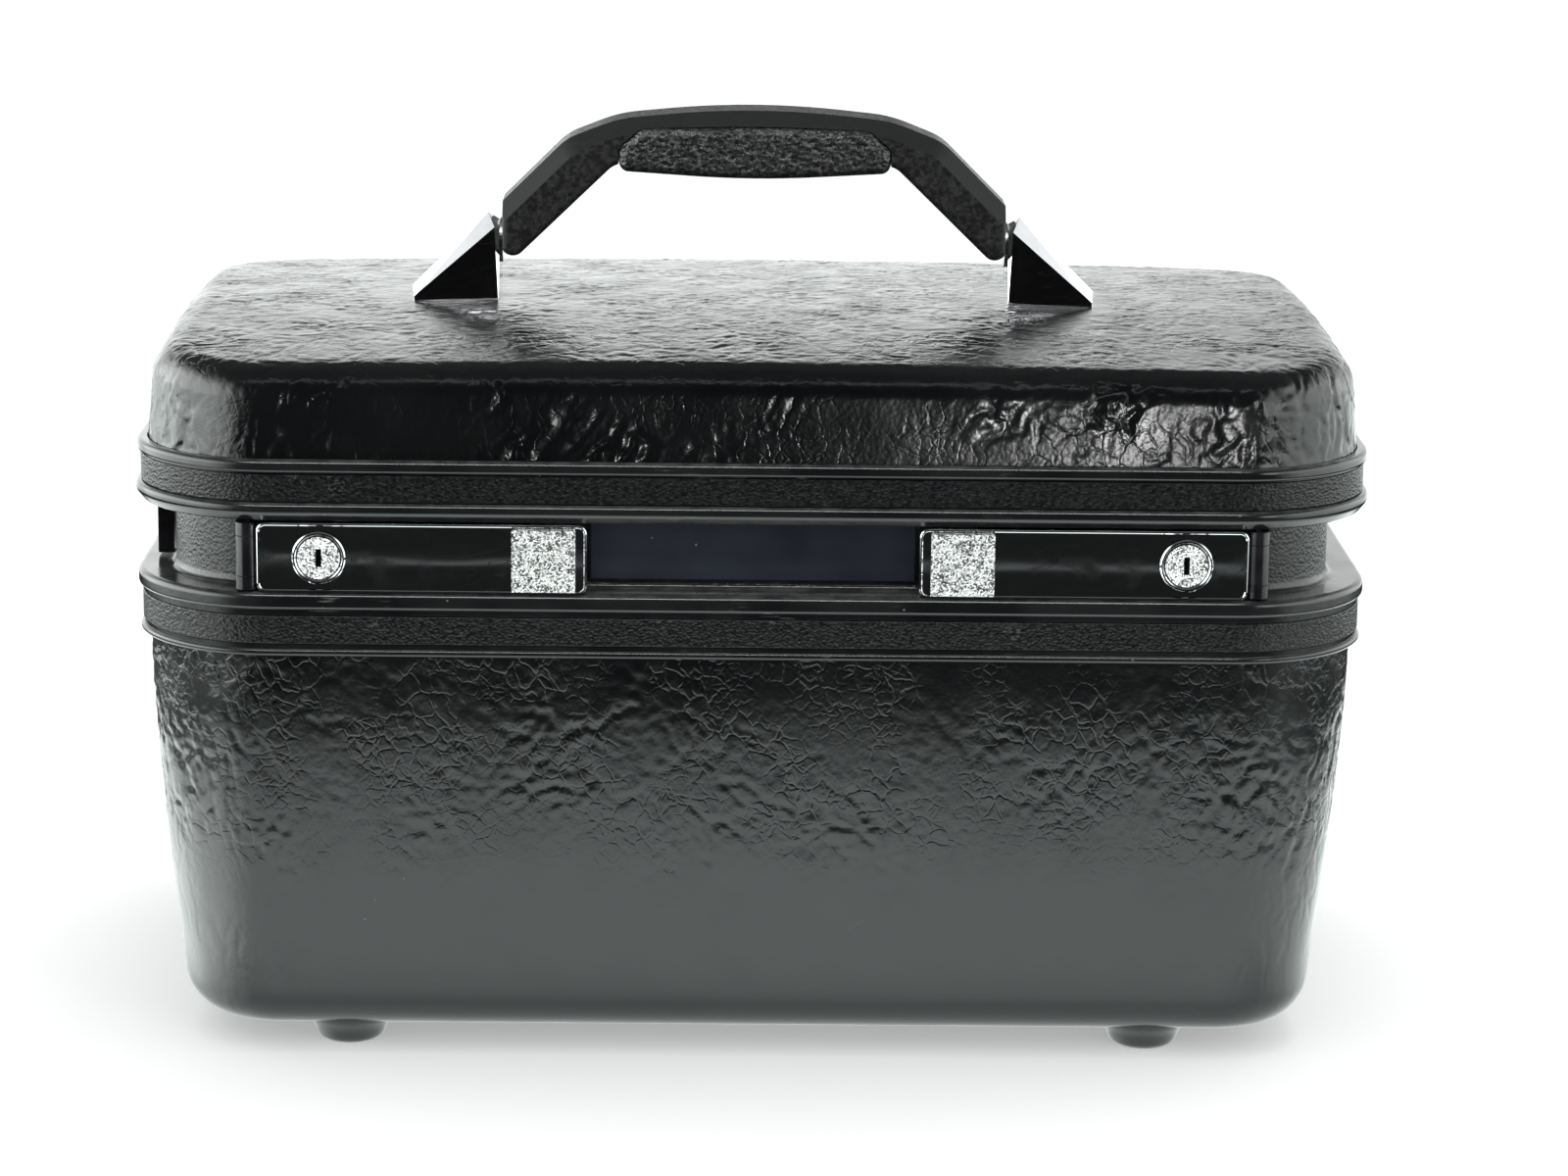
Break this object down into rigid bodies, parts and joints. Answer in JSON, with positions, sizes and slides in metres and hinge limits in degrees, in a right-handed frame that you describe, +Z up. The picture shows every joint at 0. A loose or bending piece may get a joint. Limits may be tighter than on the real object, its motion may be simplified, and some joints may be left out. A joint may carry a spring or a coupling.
{
  "type": "makeup train case",
  "caption": "Hard train case for make-up: grained tub and hinged lid with banded rims, chrome swing latches with locks, folding top handle, lift-out tray and lid mirror.",
  "frame": {"origin": "centre of the case on the floor plane, level with the underside of the feet", "axes": "+X to the right seen from the front, the front with the latches faces -Y, +Z up"},
  "size_m": [0.35, 0.216, 0.2613],
  "materials": {
    "shell_black": "moulded leather grain, satin sheen",
    "rim_black": "smooth satin with scuffed edges",
    "band_black": "fine pebbled",
    "panel_black": "plain satin",
    "latch_black": "smooth gloss",
    "chrome": "mirror polished",
    "speckled_silver": "sparkling speckled texture",
    "steel": "plain plated",
    "handle_black": "leathery moulded grain",
    "grip_black": "coarse pebbled soft grip",
    "lining_fabric": "quilted taffeta",
    "mirror": "silvered glass",
    "tray_plastic": "moulded satin"
  },
  "bodies": {
    "base": {"base_shell": "shell_black", "base_frame": "rim_black", "base_band": "band_black", "centre_panel": "panel_black", "base_lining": "lining_fabric", "pocket_back": "lining_fabric", "tray_rail_left": "latch_black", "tray_rail_right": "latch_black", "tray_rail_screws": "steel", "latch_housing_left": "latch_black", "latch_housing_right": "latch_black", "latch_pin_left": "steel", "latch_pin_right": "steel", "latch_rivets": "steel", "hinge_base_leaf_left": "steel", "hinge_base_leaf_right": "steel", "hinge_pin_left": "steel", "hinge_pin_right": "steel", "hinge_base_rivets": "steel", "stay_pivot": "steel"},
    "lid": {"lid_shell": "shell_black", "lid_frame": "rim_black", "lid_band": "band_black", "lid_lining": "lining_fabric", "mirror_frame": "latch_black", "mirror_glass": "mirror", "lid_strike_left": "steel", "lid_strike_right": "steel", "hinge_lid_leaf_left": "steel", "hinge_lid_leaf_right": "steel", "hinge_lid_rivets": "steel", "bracket_left": "chrome", "bracket_right": "chrome", "bracket_plate_left": "steel", "bracket_plate_right": "steel", "bracket_screws": "steel", "handle_pins": "steel", "handle_washers": "steel", "stay_lug_pin": "steel"},
    "handle": {"handle_core": "handle_black", "grip_pad": "grip_black"},
    "stay": {"lid_stay": "latch_black"},
    "tray": {"tray": "tray_plastic"},
    "latch_left": {"latch_lever_left": "latch_black", "latch_faceplate_left": "chrome", "latch_spring_left": "steel", "lock_ring_left": "chrome"},
    "thumb_left": {"thumb_slide_left": "speckled_silver", "latch_bolt_left": "steel"},
    "lock_left": {"lock_cylinder_left": "speckled_silver", "lock_cam_left": "steel"},
    "latch_right": {"latch_lever_right": "latch_black", "latch_faceplate_right": "chrome", "latch_spring_right": "steel", "lock_ring_right": "chrome"},
    "thumb_right": {"thumb_slide_right": "speckled_silver", "latch_bolt_right": "steel"},
    "lock_right": {"lock_cylinder_right": "speckled_silver", "lock_cam_right": "steel"}
  },
  "joints": [
    {"name": "lid_hinge", "type": "hinge", "parent": "base", "child": "lid", "pos_m": [0, 0.1042, 0.148], "axis": [-1, 0, 0], "range_deg": [0, 95]},
    {"name": "handle_pivot", "type": "hinge", "parent": "lid", "child": "handle", "pos_m": [0, 0, 0.2215], "axis": [1, 0, 0], "range_deg": [-85, 85]},
    {"name": "lid_stay_swing", "type": "hinge", "parent": "base", "child": "stay", "pos_m": [-0.1677, 0.0642, 0.148], "axis": [-1, 0, 0], "range_deg": [0, 115]},
    {"name": "tray_lift", "type": "slide", "parent": "base", "child": "tray", "axis": [0, 0, 1], "range_m": [0, 0.05]},
    {"name": "latch_left_swing", "type": "hinge", "parent": "base", "child": "latch_left", "pos_m": [-0.1402, -0.104, 0.148], "axis": [0, 0, -1], "range_deg": [0, 80]},
    {"name": "thumb_left_slide", "type": "slide", "parent": "latch_left", "child": "thumb_left", "axis": [-1, 0, 0], "range_m": [0, 0.0045], "stiffness_N_per_m": 60},
    {"name": "lock_left_turn", "type": "hinge", "parent": "latch_left", "child": "lock_left", "pos_m": [-0.12, -0.104, 0.1481], "axis": [0, -1, 0], "range_deg": [0, 90]},
    {"name": "latch_right_swing", "type": "hinge", "parent": "base", "child": "latch_right", "pos_m": [0.1402, -0.104, 0.148], "axis": [0, 0, 1], "range_deg": [0, 80]},
    {"name": "thumb_right_slide", "type": "slide", "parent": "latch_right", "child": "thumb_right", "axis": [1, 0, 0], "range_m": [0, 0.0045], "stiffness_N_per_m": 60},
    {"name": "lock_right_turn", "type": "hinge", "parent": "latch_right", "child": "lock_right", "pos_m": [0.12, -0.104, 0.1481], "axis": [0, 1, 0], "range_deg": [0, 90]}
  ],
  "couplings": [
    {"joint": "lid_stay_swing", "follows": "lid_hinge", "ratio": 1.206}
  ]
}
